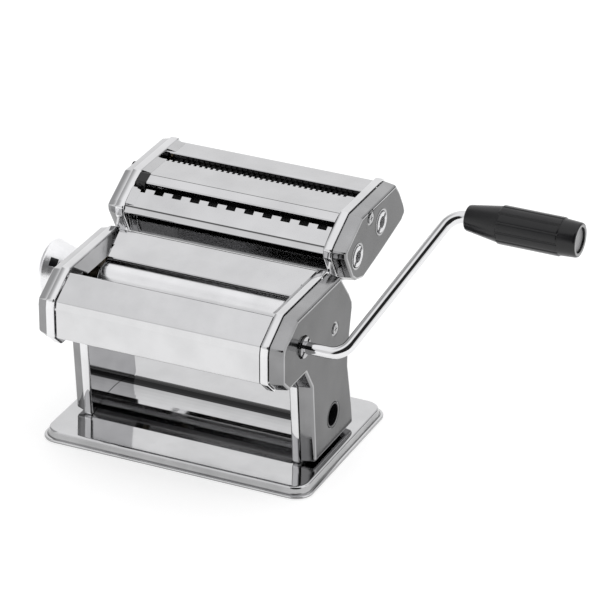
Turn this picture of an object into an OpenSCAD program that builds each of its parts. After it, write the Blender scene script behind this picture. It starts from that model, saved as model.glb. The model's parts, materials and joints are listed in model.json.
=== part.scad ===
// Hand-cranked pasta sheet roller with a lift-off double cutter.
// X runs along the rollers (crank side +X), Y from front to rear, Z up.
// The origin is on the surface that the feet stand on, under the centre of the base plate.

/* [Base plate] */
// Length of the base plate along the rollers
base_w = 193; // [186:1:200]
// Depth of the base plate, front to rear
base_d = 131; // [126:1:140]
// Height of the base plate's top face
base_h = 7.6; // [7:0.1:8]
// Corner radius of the base plate
base_corner = 12; // [10:0.5:16]
// Radius of the rounded shoulder round the base plate's top face
base_edge = 3; // [2:0.25:4]
// Height of the pressed rim above the table
rim_lift = 0.6; // [0.4:0.1:1]

/* [Head] */
// Half of the clear width between the two side frames
frame_x = 72.3; // [72:0.1:73]
// Outer edge of the side frame's flange, from the middle plane
flange_x = 78; // [77.5:0.1:78.2]
// Outer face of the right side cover, from the middle plane
cover_right_x = 87.8; // [87:0.1:88.5]
// Outer face of the left side cover, from the middle plane
cover_left_x = 85.3; // [85:0.1:86]
// Height of the head's top edge
head_top = 128; // [127.5:0.1:129]
// Foremost face of the head
head_front = -82; // [-83:0.1:-81.5]
// Front edge of the legs
leg_front = -35; // [-36:0.1:-34]
// Rear edge of the legs at the base plate
leg_rear = 29.5; // [29:0.1:31]

/* [Rollers] */
// Radius of the two smooth sheet rollers
roller_r = 14.05; // [13.8:0.01:14.1]
// Half length of the roller barrels
roller_half = 67; // [64:0.1:67]
// Gap between the rollers at the thinnest setting
gap_min = 0.3; // [0.3:0.05:0.6]
// How far the thickness knob moves the rear roller
gap_travel = 3; // [2:0.1:3]
// Height of the roller axes
roller_z = 103; // [102.5:0.1:103.5]
// Depth position of the driven front roller
front_roller_y = -50; // [-50.5:0.1:-49.5]
// Radius of the roller journals
journal_r = 8; // [7.8:0.05:8]

/* [Crank] */
// Radius of the crank's round bar
bar_r = 4; // [3.8:0.05:4]
// How far the second bend stands further out than the first
arm_out = 38; // [30:1:42]
// Distance from the drive axis to the grip's axis
crank_throw = 109; // [100:1:115]
// Angle of the arm above the horizontal, at rest
crank_angle = 38.4; // [0:0.1:90]
// Radius of the crank's bends, on the centre line
bend_r = 13; // [10:0.5:13]
// Length of the grip
grip_len = 76; // [70:1:90]
// Largest radius of the grip
grip_r = 12.5; // [11:0.1:13]

/* [Thickness knob] */
// Largest radius of the knob
knob_r = 20.3; // [18:0.1:21]

/* [Cutter unit] */
// Half of the clear width between the cutter's side frames
cut_frame_x = 71.4; // [71:0.1:72]
// Outer face of the cutter's right side cover
cut_cover_right_x = 87; // [86.5:0.1:88]
// Outer face of the cutter's left side cover
cut_cover_left_x = 84.4; // [84:0.1:86]
// Height of the cutter unit's top edge
cut_top = 154.5; // [154:0.1:155]
// Radius of the ridges on the cutting rollers
cut_r = 9.2; // [9:0.05:9.3]
// Distance between the axes of a cutting pair
cut_pitch = 17.6; // [17.6:0.05:17.8]
// Width of a wide strip
wide_strip = 6.5; // [6:0.1:7]
// Width of a fine strip
fine_strip = 2; // [2:0.1:2.5]

/* [Hidden] */
$fn = 64;
sheet = 1.2;
base_t = 1.6;
frame_t = 2;
run_gap = 0.05;
// Axes of the rollers: the adjuster shaft lies in the middle of the rear roller's travel
ecc = gap_travel / 2;
rear_roller_y = front_roller_y + 2 * roller_r + gap_min;
shaft_y = rear_roller_y + ecc;
shaft_r = 3;
ecc_r = 6;
// Meshing gears of the two sheet rollers
gear_teeth = 14;
gear_module = 2;
gear_tip_r = 16.1;
gear_in_x = roller_half + 0.6;
gear_out_x = 71.4;
// Axes of the cutting rollers: each pair is tilted with its slot
cut_tilt = 17.8;
wide_axis = [33, 128.5];
fine_axis = [70.5, 136.3];
pair_step = cut_pitch * [cos(cut_tilt), sin(cut_tilt)];
cut_gear_teeth = 16;
cut_journal_r = 5;
groove_depth = 1.6;
cut_half = 64.6;
// Shared screw and hole places, as [Y, Z]
cover_screw = [-2.4, 93];
clamp_hole = [-4.5, 31.5];
clamp_r = 8.6;
clamp_bore_r = 7.4;
cut_screw = [54, 146.3];
rods = [cover_screw, [-73, 88], [3, 117], [18.5, 98]];
rod_r = 2.6;
rod_bore_r = 1.6;
hub_r = 7;
hub_face_x = 89.4;
socket_r = 4.1;
key_r = 1.2;
chrome = [0.8, 0.81, 0.83];
steel = [0.62, 0.63, 0.65];
black = [0.08, 0.08, 0.09];

// Side outline of the head and legs, anticlockwise from the front foot, as [Y, Z]
head_outline = [
    [leg_front, base_h], [leg_rear, base_h], [27, 27.6], [21, 57.2], [21.6, 69.3],
    [27.6, 96], [27.2, 101.5], [22.5, 109.6], [9, head_top - 1], [6.5, head_top],
    [-59, head_top], [-80.7, 115.1], [head_front, 109], [head_front, 89],
    [-72, 79.5], [-47.5, 79.5], [-39, 66], [leg_front, 14]];
// Side outline of the cutter unit, anticlockwise from its front lower edge
cut_outline = [
    [24, 114.6], [31.1, 109.2], [42.9, 105.9], [71.3, 111.7], [105, 119.8], [110.6, 123.9],
    [112.2, 127.6], [109.5, 134.6], [102.6, 146.4], [95.9, cut_top], [40.3, cut_top],
    [17.4, 141.9], [13.4, 139], [14, 132.6]];

// ---- Outline helpers ----

function unit(v) = v / norm(v);
function wrap(i, n) = (i + n) % n;

// Points of the arc that rounds corner q between p and s
function corner_arc(p, q, s, r, steps) =
    let (u = unit(p - q), v = unit(s - q), half = acos(u * v) / 2,
         reach = min(r / tan(half), 0.45 * min(norm(p - q), norm(s - q))),
         radius = reach * tan(half), centre = q + unit(u + v) * radius / sin(half),
         a = q + u * reach - centre, b = q + v * reach - centre, sweep = 180 - 2 * half)
    [for (i = [0:steps]) centre
        + (a * sin(sweep * (1 - i / steps)) + b * sin(sweep * i / steps)) / sin(sweep)];

// Closed outline with every corner rounded
function rounded(pts, r, steps = 4) =
    let (n = len(pts))
    [for (i = [0:n - 1]) each corner_arc(pts[wrap(i - 1, n)], pts[i], pts[wrap(i + 1, n)], r, steps)];

function left_of(v) = [-v[1], v[0]];

// Anticlockwise closed outline moved inwards by d
function inset(pts, d) =
    let (n = len(pts))
    [for (i = [0:n - 1])
        let (a = left_of(unit(pts[i] - pts[wrap(i - 1, n)])),
             b = left_of(unit(pts[wrap(i + 1, n)] - pts[i])))
        pts[i] + (a + b) * d / (1 + a * b)];

// Open line of points moved to its left by d
function beside(pts, d) =
    let (n = len(pts))
    [for (i = [0:n - 1])
        let (a = left_of(unit(pts[max(i, 1)] - pts[max(i, 1) - 1])),
             b = left_of(unit(pts[min(i, n - 2) + 1] - pts[min(i, n - 2)])))
        pts[i] + (a + b) * d / (1 + a * b)];

// Open line with its inner corners rounded
function rounded_line(pts, r, steps = 4) =
    let (n = len(pts))
    [pts[0], for (i = [1:n - 2]) each corner_arc(pts[i - 1], pts[i], pts[i + 1], r, steps), pts[n - 1]];

function reversed(pts) = [for (i = [len(pts) - 1:-1:0]) pts[i]];

// Cross-section of a bent sheet: its line on one side, thickened to the left
function strip(pts, t) = concat(pts, reversed(beside(pts, t)));

// ---- Solid helpers ----

// Extrudes a [Y, Z] shape along X
module along_x(x0, x1) {
    translate([x0, 0, 0]) rotate([90, 0, 90]) linear_extrude(x1 - x0) children();
}

// Cylinder along X at [Y, Z]
module x_rod(r, x0, x1, at) {
    translate([x0, at[0], at[1]]) rotate([0, 90, 0]) cylinder(r = r, h = x1 - x0);
}

// Draws the +X part, or its mirror image on the -X side
module on_side(side) {
    if (side > 0) children();
    else mirror([1, 0, 0]) children();
}

module both_sides() {
    on_side(1) children();
    on_side(-1) children();
}

// ---- Gears ----

// Angle by which an involute from base radius rb has turned at radius r
function involute_turn(rb, r) =
    let (a = acos(min(1, rb / r))) tan(a) * 180 / PI - a;

// Half of the tooth's angle at radius r; slack narrows the tooth
function tooth_half(teeth, pitch_r, rb, r, slack) =
    90 / teeth - slack + involute_turn(rb, pitch_r) - involute_turn(rb, max(r, rb));

// Outline of an involute gear with a tooth pointing along the angle turn
function gear_points(teeth, module_mm, tip_r, root_r, turn, pressure = 25, slack = 0.9, steps = 5) =
    let (pitch_r = teeth * module_mm / 2, rb = pitch_r * cos(pressure),
         radii = [root_r, for (i = [0:steps]) max(rb, root_r) + (tip_r - max(rb, root_r)) * i / steps])
    [for (t = [0:teeth - 1], side = [-1, 1], i = [0:len(radii) - 1])
        let (r = side < 0 ? radii[i] : radii[len(radii) - 1 - i],
             a = turn + t * 360 / teeth + side * tooth_half(teeth, pitch_r, rb, r, slack))
        r * [cos(a), sin(a)]];

module gear(teeth, module_mm, tip_r, root_r, turn, bore_r, at, x0, x1) {
    difference() {
        translate([0, at[0], at[1]]) along_x(x0, x1)
            polygon(gear_points(teeth, module_mm, tip_r, root_r, turn));
        x_rod(bore_r, x0 - 1, x1 + 1, at);
    }
}

// ---- Base ----

// How far the rim flares out below its shoulder, and the height of its outer lip
rim_flare = 3;
lip_top = 3;

// Section of the rim, measured from the corner's centre: shoulder, slope and upright lip
rim_section = let (r = base_corner, s = r - rim_flare, e = base_edge, top = base_h, t = base_t) concat(
    [[0, top]], [for (i = [0:5]) [s - e + e * sin(18 * i), top - e + e * cos(18 * i)]],
    [[r - 0.8, lip_top], [r, lip_top - 0.8], [r, rim_lift], [r - t, rim_lift], [r - t, lip_top - 1.1],
        [s - t, top - e], [s - e, top - t], [0, top - t]]);

module rim_edge(length) {
    rotate([90, 0, 0]) translate([0, 0, -length / 2]) linear_extrude(length) polygon(rim_section);
}

module base_plate() {
    half_w = base_w / 2 - base_corner;
    half_d = base_d / 2 - base_corner;
    color(chrome) union() {
        translate([-half_w, -half_d, base_h - base_t]) cube([2 * half_w, 2 * half_d, base_t]);
        for (s = [0, 1]) rotate([0, 0, 180 * s]) {
            translate([half_w, 0, 0]) rim_edge(2 * half_d);
            translate([0, half_d, 0]) rotate([0, 0, 90]) rim_edge(2 * half_w);
            translate([half_w, half_d, 0]) rotate_extrude(angle = 90) polygon(rim_section);
            translate([-half_w, half_d, 0]) rotate([0, 0, 90])
                rotate_extrude(angle = 90) polygon(rim_section);
        }
    }
}

module base_feet() {
    foot_r = 8;
    foot_inset = 16;
    foot_at = [base_w / 2 - foot_inset, base_d / 2 - foot_inset];
    places = [[0, 0], for (sx = [-1, 1], sy = [-1, 1]) [sx * foot_at[0], sy * foot_at[1]]];
    color(black) for (p = places) translate([p[0], p[1], 0])
        cylinder(r = foot_r, h = base_h - base_t);
}

// ---- Side frames and covers of the head ----

slide_half = [10.5, 10.9];
window_half = slide_half + [ecc + 0.3, 0.1];

module side_frame(side) {
    outline = rounded(head_outline, 3);
    lip = 1.5;
    hook_notch = [12.7, 19.4];
    color(chrome) on_side(side) difference() {
        along_x(frame_x, flange_x) polygon(outline);
        along_x(frame_x + frame_t, flange_x + 1) polygon(inset(outline, lip));
        x_rod(10, frame_x - 1, flange_x, [front_roller_y, roller_z]);
        centred_box(frame_x - 1, frame_x + frame_t + 1, [shaft_y, roller_z], window_half);
        for (p = rods) x_rod(rod_bore_r, frame_x - 1, flange_x, p);
        translate([frame_x + frame_t, hook_notch[0], 104])
            cube([flange_x, hook_notch[1] - hook_notch[0], 30]);
    }
}

// Pressed shell over one side of the head: its opening faces the side frame
module side_cover(side) {
    outline = inset(rounded(head_outline, 3.5), 1.3);
    cover_x = side > 0 ? cover_right_x : cover_left_x;
    shell_in = flange_x + 0.4;
    boss_r = 6;
    color(steel) on_side(side) difference() {
        union() {
            difference() {
                along_x(shell_in, cover_x) polygon(outline);
                along_x(shell_in - 1, cover_x - sheet) polygon(inset(outline, sheet));
            }
            x_rod(boss_r, 81.7, cover_x - sheet / 2, [shaft_y, roller_z]);
        }
        if (side > 0) {
            x_rod(hub_r + 0.6, shell_in, cover_x + 1, [front_roller_y, roller_z]);
            x_rod(shaft_r + run_gap, 80, 86, [shaft_y, roller_z]);
            x_rod(clamp_r, shell_in, cover_x + 1, clamp_hole);
        } else {
            x_rod(shaft_r + run_gap, 80, cover_x + 1, [shaft_y, roller_z]);
        }
        x_rod(2.1, shell_in, cover_x + 1, cover_screw);
        x_rod(3.6, cover_x - 0.5, cover_x + 1, cover_screw);
    }
}

// Screw with a recessed head, standing on the end of a tie rod
module cover_screw_at(tip_x, head_x, at) {
    difference() {
        union() {
            x_rod(1.5, tip_x, head_x - 0.8, at);
            x_rod(3.4, head_x - 0.5, head_x + 0.5, at);
            x_rod(2, head_x - 1, head_x - 0.5, at);
        }
        for (turn = [0, 90]) translate([head_x + 0.5, at[0], at[1]]) rotate([turn, 0, 0])
            cube([1, 0.7, 4], center = true);
    }
}

module cover_screws() {
    color(chrome) {
        on_side(1) cover_screw_at(frame_x - 6, cover_right_x, cover_screw);
        on_side(-1) cover_screw_at(frame_x - 6, cover_left_x, cover_screw);
    }
}

module clamp_liner() {
    color(black) difference() {
        x_rod(clamp_r - 0.05, frame_x + frame_t, cover_right_x - 0.3, clamp_hole);
        x_rod(clamp_bore_r, frame_x + frame_t + sheet, cover_right_x + 1, clamp_hole);
    }
}

// ---- Sheet-metal panels between the side frames ----

panel_half = frame_x - 0.1;

module front_cover() {
    line = rounded_line([[-59.9, 121], [-59.6, head_top - 0.6], [-80.6, 114.8], [-81.8, 109.5],
        [-81.8, 88.5], [-76, 87.5]], 1.8);
    color(chrome) along_x(-panel_half + 1.6, panel_half) polygon(strip(line, sheet));
}

module hopper_plate() {
    line = rounded_line([[9.5, 121.5], [8, 126.6], [-20, 120.3]], 1.2);
    color(chrome) difference() {
        along_x(-panel_half, panel_half) polygon(strip(line, 1));
        both_sides() translate([gear_in_x - 0.8, -30, 110]) cube([10, 22, 20]);
    }
}

// Sloping end wall of the hopper, from the side frame down to the roller's end
module hopper_cheek(side) {
    cheek_t = 1;
    slope = 48;
    drop = 9.2;
    color(chrome) on_side(side) translate([frame_x - 0.2, 0, head_top - 1])
        rotate([0, -slope, 0]) mirror([1, 0, 0]) linear_extrude(cheek_t)
            polygon([[0, -56], [0, 7.2], [0.4, 7.2], [drop, -21.5], [drop, -47]]);
}

module rear_cover() {
    line = [[11, 123], [20.9, 109.4], [25.9, 101], [26.2, 96], [20.3, 69.3], [19.8, 60], [15.8, 58.5]];
    color(chrome) along_x(-panel_half, panel_half) polygon(strip(rounded_line(line, 3), sheet));
}

// Arched slide that carries the sheet of dough forwards between the legs
module chute() {
    rise = 7.2;
    rear_y = 28;
    front_y = leg_front - 0.5;
    half_chord = (rear_y - front_y) / 2;
    arc_r = (pow(half_chord, 2) + rise * rise) / (2 * rise);
    half_turn = asin(half_chord / arc_r);
    steps = 16;
    mid = [(rear_y + front_y) / 2, base_h + rise - arc_r];
    line = [for (i = [0:steps]) let (a = 90 - half_turn + 2 * half_turn * i / steps)
        mid + arc_r * [cos(a), sin(a)]];
    color(chrome) intersection() {
        along_x(-panel_half + 0.2, panel_half - 0.2) polygon(strip(line, sheet));
        translate([-base_w / 2, -base_d / 2, base_h]) cube([base_w, base_d, 40]);
    }
}

module tie_rods() {
    color(steel) difference() {
        for (p = rods) x_rod(rod_r, -frame_x, frame_x, p);
        both_sides() for (p = rods) x_rod(rod_bore_r, frame_x - 8, frame_x + 1, p);
    }
}

// Flanged bushes that carry the driven roller
module front_bushes() {
    at = [front_roller_y, roller_z];
    color([0.75, 0.62, 0.35]) both_sides() difference() {
        union() {
            x_rod(9.95, frame_x - 0.4, frame_x + frame_t + 1.2, at);
            x_rod(11.5, frame_x + frame_t, frame_x + frame_t + 1.2, at);
        }
        x_rod(journal_r + run_gap, frame_x - 1, flange_x + 1, at);
    }
}

// Thin blade that strips the dough off the underside of a roller, on a foot between the frames
module scraper(axis_y, dir) {
    blade_t = 0.8;
    edge = [axis_y + dir * 3, roller_z - roller_r - 0.6];
    foot = [axis_y + dir * 11.5, roller_z - 19];
    color(steel) {
        along_x(-roller_half + 1, roller_half - 1)
            polygon([edge, foot, foot + [dir, 0], foot + [dir, -blade_t], foot + [0, -blade_t],
                edge + [0, -blade_t]]);
        along_x(-frame_x, frame_x) translate(foot - [dir > 0 ? 0 : 4, blade_t]) square([4, blade_t]);
    }
}

module index_plate() {
    at = [shaft_y, roller_z];
    color(steel) difference() {
        x_rod(pin_turn + 4, -cover_left_x - 1.6, -cover_left_x, at);
        x_rod(shaft_r + 1, -cover_left_x - 3, -cover_left_x + 1, at);
        pin_slot(at);
    }
}

pin_turn = 12;
pin_r = 1.4;

// Half-turn slot that the knob's index pin runs in
module pin_slot(at) {
    slot_r = pin_r + 0.3;
    translate([-cover_left_x - 2, at[0], at[1]]) rotate([90, 0, 90]) {
        rotate_extrude(angle = 180) translate([pin_turn - slot_r, 0]) square([2 * slot_r, 3]);
        for (side = [-1, 1]) translate([side * pin_turn, 0, 0]) cylinder(r = slot_r, h = 3);
    }
}

// ---- Driven roller and its hub ----

module front_roller() {
    at = [front_roller_y, roller_z];
    color(steel) difference() {
        union() {
            x_rod(roller_r, -roller_half, roller_half, at);
            x_rod(journal_r, -76, 76, at);
        }
        x_rod(socket_r, 60, 77, at);
    }
}

module drive_hub() {
    at = [front_roller_y, roller_z];
    color(chrome) keyed_hub(at, 76, hub_face_x, cover_right_x - 0.1);
}

// Hub with a round socket and a slot across its face for the crank's key
module keyed_hub(at, x0, face_x, ring_x) {
    difference() {
        union() {
            x_rod(hub_r - 0.6, x0, face_x, at);
            x_rod(hub_r, ring_x, face_x, at);
        }
        x_rod(socket_r, x0 - 1, face_x + 1, at);
        key_slot(at, face_x);
    }
}

// Slot across a hub's face that takes the crank's key
module key_slot(at, face_x) {
    translate([face_x - 4, at[0], at[1]]) rotate([crank_angle, 0, 0])
        translate([0, -hub_r - 1, -key_r - 0.15]) cube([6, 2 * hub_r + 2, 2 * key_r + 0.3]);
}

module front_gear() {
    color(steel) gear(gear_teeth, gear_module, gear_tip_r, gear_root_r, 0,
        journal_r + 0.02, [front_roller_y, roller_z], gear_in_x, gear_out_x);
}

gear_root_r = 2 * roller_r + gap_min - gear_tip_r - 0.35;

module rear_gear() {
    color(steel) gear(gear_teeth, gear_module, gear_tip_r, gear_root_r, 180 + 180 / gear_teeth,
        journal_r + 0.02, [rear_roller_y, roller_z], gear_in_x, gear_out_x);
}

// ---- Adjustable roller, its sliding bearings and the knob ----

module rear_roller() {
    at = [rear_roller_y, roller_z];
    hollow_r = shaft_r + ecc + 1;
    color(steel) difference() {
        union() {
            x_rod(roller_r, -roller_half, roller_half, at);
            x_rod(journal_r, -75.9, 75.9, at);
        }
        x_rod(hollow_r, -77, 77, at);
    }
}

module centred_box(x0, x1, at, half) {
    translate([x0, at[0] - half[0], at[1] - half[1]]) cube([x1 - x0, 2 * half[0], 2 * half[1]]);
}

// Bearing blocks that slide in the frame windows; each ends in a yoke round an eccentric
module bearing_slides() {
    at = [rear_roller_y, roller_z];
    yoke_half = [ecc_r + 0.4, ecc_r + ecc + 0.4];
    color([0.75, 0.62, 0.35]) both_sides() difference() {
        union() {
            centred_box(frame_x - 0.4, 76, at, slide_half);
            centred_box(frame_x + frame_t + 0.1, 76, at, slide_half + [1.5, 2]);
            centred_box(76, 81, at, [10, 11]);
        }
        x_rod(journal_r + run_gap, frame_x - 1, 76.1, at);
        centred_box(76.05, 82, at, yoke_half);
        x_rod(shaft_r + ecc + 1, frame_x - 1, 80, at);
    }
}

module adjuster_shaft() {
    at = [shaft_y, roller_z];
    color(steel) {
        x_rod(shaft_r, -103, 85.5, at);
        for (x = [-80.6, 76.6]) x_rod(ecc_r, x, x + 4, [shaft_y - ecc, roller_z]);
    }
}

module knob_screw() {
    color(chrome) x_rod(5.4, -104.6, -103, [shaft_y, roller_z]);
}

// Flared dial knob with a cavity for its spring
module knob() {
    face_x = -cover_left_x - 2.2;
    rim_x = -105;
    shoulder_x = -96;
    color([0.9, 0.9, 0.91]) translate([0, shaft_y, roller_z]) difference() {
        union() {
            rotate([0, -90, 0]) rotate_extrude() polygon([
                [0, -face_x], [14.6, -face_x], [15, -face_x + 0.4], [knob_r - 0.5, -rim_x - 1.5],
                [knob_r, -rim_x], [knob_r - 0.6, -rim_x + 1.6], [knob_r - 3.3, -rim_x + 3.4],
                [knob_r - 8, -rim_x + 4.4], [0, -rim_x + 4.6]]);
            translate([0, pin_turn, 0]) rotate([0, 90, 0]) translate([0, 0, face_x - 1])
                cylinder(r = pin_r, h = 2.4);
        }
        x_rod(shaft_r + run_gap, -130, 0, [0, 0]);
        x_rod(6.4, -130, shoulder_x, [0, 0]);
    }
}

module knob_cap() {
    color(chrome) x_rod(6.35, -110.4, -108.6, [shaft_y, roller_z]);
}

// Compression spring between the knob's shoulder and the screw
module knob_spring() {
    wire_r = 0.45;
    coil_r = 4.4;
    turns = 3.5;
    start_x = -102.5;
    length = 6;
    ring = 8;
    steps = 14 * turns;
    points = [for (i = [0:steps], j = [0:ring - 1])
        let (a = 360 * turns * i / steps, b = 360 * j / ring, r = coil_r + wire_r * cos(b))
        [start_x + length * i / steps + wire_r * sin(b), shaft_y + r * cos(a), roller_z + r * sin(a)]];
    sides = [for (i = [0:steps - 1], j = [0:ring - 1])
        [i * ring + j, i * ring + (j + 1) % ring, (i + 1) * ring + (j + 1) % ring, (i + 1) * ring + j]];
    first_end = [for (j = [ring - 1:-1:0]) j];
    last_end = [for (j = [0:ring - 1]) steps * ring + j];
    color(steel) polyhedron(points, concat([first_end], sides, [last_end]));
}

// ---- Crank ----

bar_in_x = 64;
bend_x = 114.3;
arm_len = norm([arm_out, crank_throw]);
arm_turn = atan2(crank_throw, arm_out);
bend_reach = bend_r * tan(arm_turn / 2);
grip_x = bend_x + arm_out + 9.5;
grip_recess = 12;

// Places children in the crank's plane: X stays, Y becomes the arm's direction
module in_crank_plane() {
    translate([0, front_roller_y, roller_z]) rotate([crank_angle, 0, 0]) children();
}

// Bend of the bar round a centre, starting at an angle
module bar_bend(centre, start) {
    translate([centre[0], centre[1], 0]) rotate([0, 0, start])
        rotate_extrude(angle = arm_turn) translate([bend_r, 0]) circle(r = bar_r + 0.02);
}

// Bar: straight in the socket, bent to the arm, bent back through the grip
module crank_rod() {
    lap = 0.5;
    first_end = bend_x - bend_reach;
    last_start = bend_x + arm_out + bend_reach;
    color(chrome) in_crank_plane() {
        difference() {
            x_rod(bar_r, bar_in_x, first_end + lap, [0, 0]);
            cross_pin(key_r + 0.01, bar_r + 1);
        }
        translate([bend_x, 0, 0]) rotate([0, 0, arm_turn])
            x_rod(bar_r, bend_reach - lap, arm_len - bend_reach + lap, [0, 0]);
        x_rod(bar_r, last_start - lap, grip_x + grip_len - grip_recess, [crank_throw, 0]);
        bar_bend([first_end, bend_r], -90);
        bar_bend([last_start, crank_throw - bend_r], 90);
    }
}

// Cross pin through the bar, for the slot in a hub's face
module crank_key() {
    color(steel) in_crank_plane() cross_pin(key_r, bar_r + 1.8);
}

module cross_pin(r, reach) {
    translate([hub_face_x - 2.4, -reach, 0]) rotate([-90, 0, 0]) cylinder(r = r, h = 2 * reach);
}

// Collar on the end of the bar that keeps the grip on
module grip_retainer() {
    color(steel) in_crank_plane()
        x_rod(7, grip_x + grip_len - grip_recess, grip_x + grip_len - 9.6, [crank_throw, 0]);
}

// Grip on its bar: cone, fluted middle, plain end with a recess
module crank_grip() {
    cone_len = 23;
    flute_end = 64;
    neck_r = 8.4;
    end_r = 11.2;
    flutes = 12;
    flute_r = 0.9;
    color(black) in_crank_plane() translate([grip_x, crank_throw, 0]) difference() {
        rotate([0, 90, 0]) rotate_extrude() polygon([[0, 0], [neck_r - 1.2, 0], [neck_r, 1.4],
            [grip_r - 0.7, cone_len - 0.6], [grip_r, cone_len], [grip_r, flute_end],
            [grip_r - 0.5, flute_end + 0.4], [end_r + 0.6, grip_len - 4], [end_r - 0.8, grip_len],
            [0, grip_len]]);
        x_rod(bar_r + run_gap, -1, grip_len, [0, 0]);
        x_rod(7.4, grip_len - grip_recess - 0.4, grip_len + 1, [0, 0]);
        x_rod(9.2, grip_len - 2.2, grip_len + 1, [0, 0]);
        for (i = [0:flutes - 1]) rotate([360 * i / flutes, 0, 0])
            x_rod(flute_r, cone_len - 1, flute_end, [grip_r + 0.25, 0]);
    }
}

module grip_cap() {
    color([0.7, 0.7, 0.72]) in_crank_plane()
        x_rod(9.15, grip_x + grip_len - 2.2, grip_x + grip_len - 0.8, [crank_throw, 0]);
}

// ---- Cutter unit ----

module cutter_frame(side) {
    outline = rounded(cut_outline, 2.5);
    lip = 1.5;
    flange_out = cut_frame_x + 6;
    tongue = [[13.6, 105], [18.6, 105], [18.6, 117.5], [23.5, 117.5], [23.5, 122], [17, 131],
        [15.6, 131], [13.6, 126]];
    color(chrome) on_side(side) difference() {
        union() {
            difference() {
                along_x(cut_frame_x, flange_out) polygon(outline);
                along_x(cut_frame_x + frame_t, flange_out + 1) polygon(inset(outline, lip));
            }
            along_x(flange_out - 2.4, flange_out - 0.4) polygon(tongue);
        }
        for (a = cutter_axes) x_rod(cut_journal_r + 1.8, cut_frame_x - 1, cut_frame_x + frame_t + 1, a);
        for (p = cut_rods) x_rod(rod_bore_r, cut_frame_x - 1, cut_frame_x + frame_t + 1, p);
    }
}

cutter_axes = [wide_axis, wide_axis + pair_step, fine_axis, fine_axis + pair_step];
cut_rods = [cut_screw, [20, 134], [101, 128]];

module cutter_cover(side) {
    outline = inset(rounded(cut_outline, 3), 1.2);
    cut_cover_x = side > 0 ? cut_cover_right_x : cut_cover_left_x;
    shell_in = cut_frame_x + 6.4;
    color(steel) on_side(side) difference() {
        along_x(shell_in, cut_cover_x) polygon(outline);
        along_x(shell_in - 1, cut_cover_x - sheet) polygon(inset(outline, sheet));
        if (side > 0) for (a = [wide_axis, fine_axis]) x_rod(hub_r + 0.5, shell_in, cut_cover_x + 1, a);
        x_rod(2.1, shell_in, cut_cover_x + 1, cut_screw);
        x_rod(3.6, cut_cover_x - 0.5, cut_cover_x + 1, cut_screw);
    }
}

module cutter_screws() {
    color(chrome) {
        on_side(1) cover_screw_at(cut_frame_x - 5, cut_cover_right_x, cut_screw);
        on_side(-1) cover_screw_at(cut_frame_x - 5, cut_cover_left_x, cut_screw);
    }
}

module cutter_tie_rods() {
    color(steel) difference() {
        for (p = cut_rods) x_rod(2.4, -cut_frame_x, cut_frame_x, p);
        both_sides() for (p = cut_rods) x_rod(rod_bore_r, cut_frame_x - 6, cut_frame_x + 1, p);
    }
}

cut_panel = cut_frame_x - 0.1;
comb_half = 66;

// Row of notches along the edge of a guard plate, as a [X, depth] shape
module comb_notches(pitch, width, depth) {
    count = floor(comb_half / pitch);
    for (i = [-count:count]) translate([i * pitch - width / 2, 0]) square([width, depth]);
}

// Front guard plate: wide comb edge at the top, then folded down the front
module cutter_front_plate() {
    line = rounded_line([[28.4, 147.9], [16.2, 139.6], [14.6, 135.4], [22.5, 118.6], [31.2, 111]], 1.6);
    notch_depth = 3;
    color(chrome) difference() {
        along_x(-cut_panel, cut_panel) polygon(strip(line, 1));
        translate([0, 28.4, 147.9]) rotate([atan2(8.3, 12.2), 0, 0])
            translate([0, -notch_depth, -3]) linear_extrude(6)
                comb_notches(2 * wide_strip, wide_strip, notch_depth + 2);
    }
}

module cutter_middle_plate() {
    line = rounded_line([[65, 153], [39.4, 153], [32.6, 150.2], [33.4, 147.6]], 1.2);
    notch_depth = 2;
    color(chrome) difference() {
        along_x(-cut_panel, cut_panel) polygon(strip(line, 1));
        translate([0, 65 - notch_depth, 150]) linear_extrude(6)
            comb_notches(2 * fine_strip, fine_strip, notch_depth + 2);
    }
}

module cutter_rear_plate() {
    line = rounded_line([[105.5, 124.5], [109.4, 128], [106.9, 134], [100.2, 145.6], [93.8, 153],
        [76, 153], [77.2, 149.2]], 1.6);
    color(chrome) along_x(-cut_panel, cut_panel) polygon(strip(line, 1));
}

module cutter_bushes() {
    color([0.75, 0.62, 0.35]) both_sides() for (a = cutter_axes) difference() {
        x_rod(cut_journal_r + 1.75, cut_frame_x - 0.6, cut_frame_x + frame_t + 0.6, a);
        x_rod(cut_journal_r + run_gap, cut_frame_x - 2, cut_frame_x + frame_t + 2, a);
    }
}

// Grooved cutting roller: ridges one strip wide, shifted by half a pitch on the idler
module cutting_roller(at, strip_w, shift, driven) {
    play = 0.06;
    count = floor(cut_half / (2 * strip_w));
    root_r = cut_r - groove_depth;
    face_x = cut_cover_right_x + 0.8;
    ridge = strip_w / 2 - play;
    steps = [for (i = [-count:count]) let (c = 2 * strip_w * i + shift)
        each (abs(c) + strip_w / 2 < cut_half ? [[root_r, c - ridge], [cut_r, c - ridge],
            [cut_r, c + ridge], [root_r, c + ridge]] : [])];
    left_end = -cut_frame_x - 8.1;
    right_end = cut_frame_x + 4.6;
    body_end = cut_half + 4;
    profile = concat([[0, left_end], [cut_journal_r, left_end], [cut_journal_r, -body_end],
        [root_r, -body_end]], steps, [[root_r, body_end], [cut_journal_r, body_end],
        [cut_journal_r, right_end], [0, right_end]]);
    color(steel) difference() {
        union() {
            translate([0, at[0], at[1]]) rotate([0, 90, 0]) rotate_extrude() polygon(profile);
            if (driven) x_rod(hub_r - 0.6, 75.5, face_x, at);
            if (driven) x_rod(hub_r, cut_cover_right_x - 0.1, face_x, at);
        }
        if (driven) {
            x_rod(socket_r, face_x - 15, face_x + 1, at);
            key_slot(at, face_x);
        }
    }
}

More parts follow.
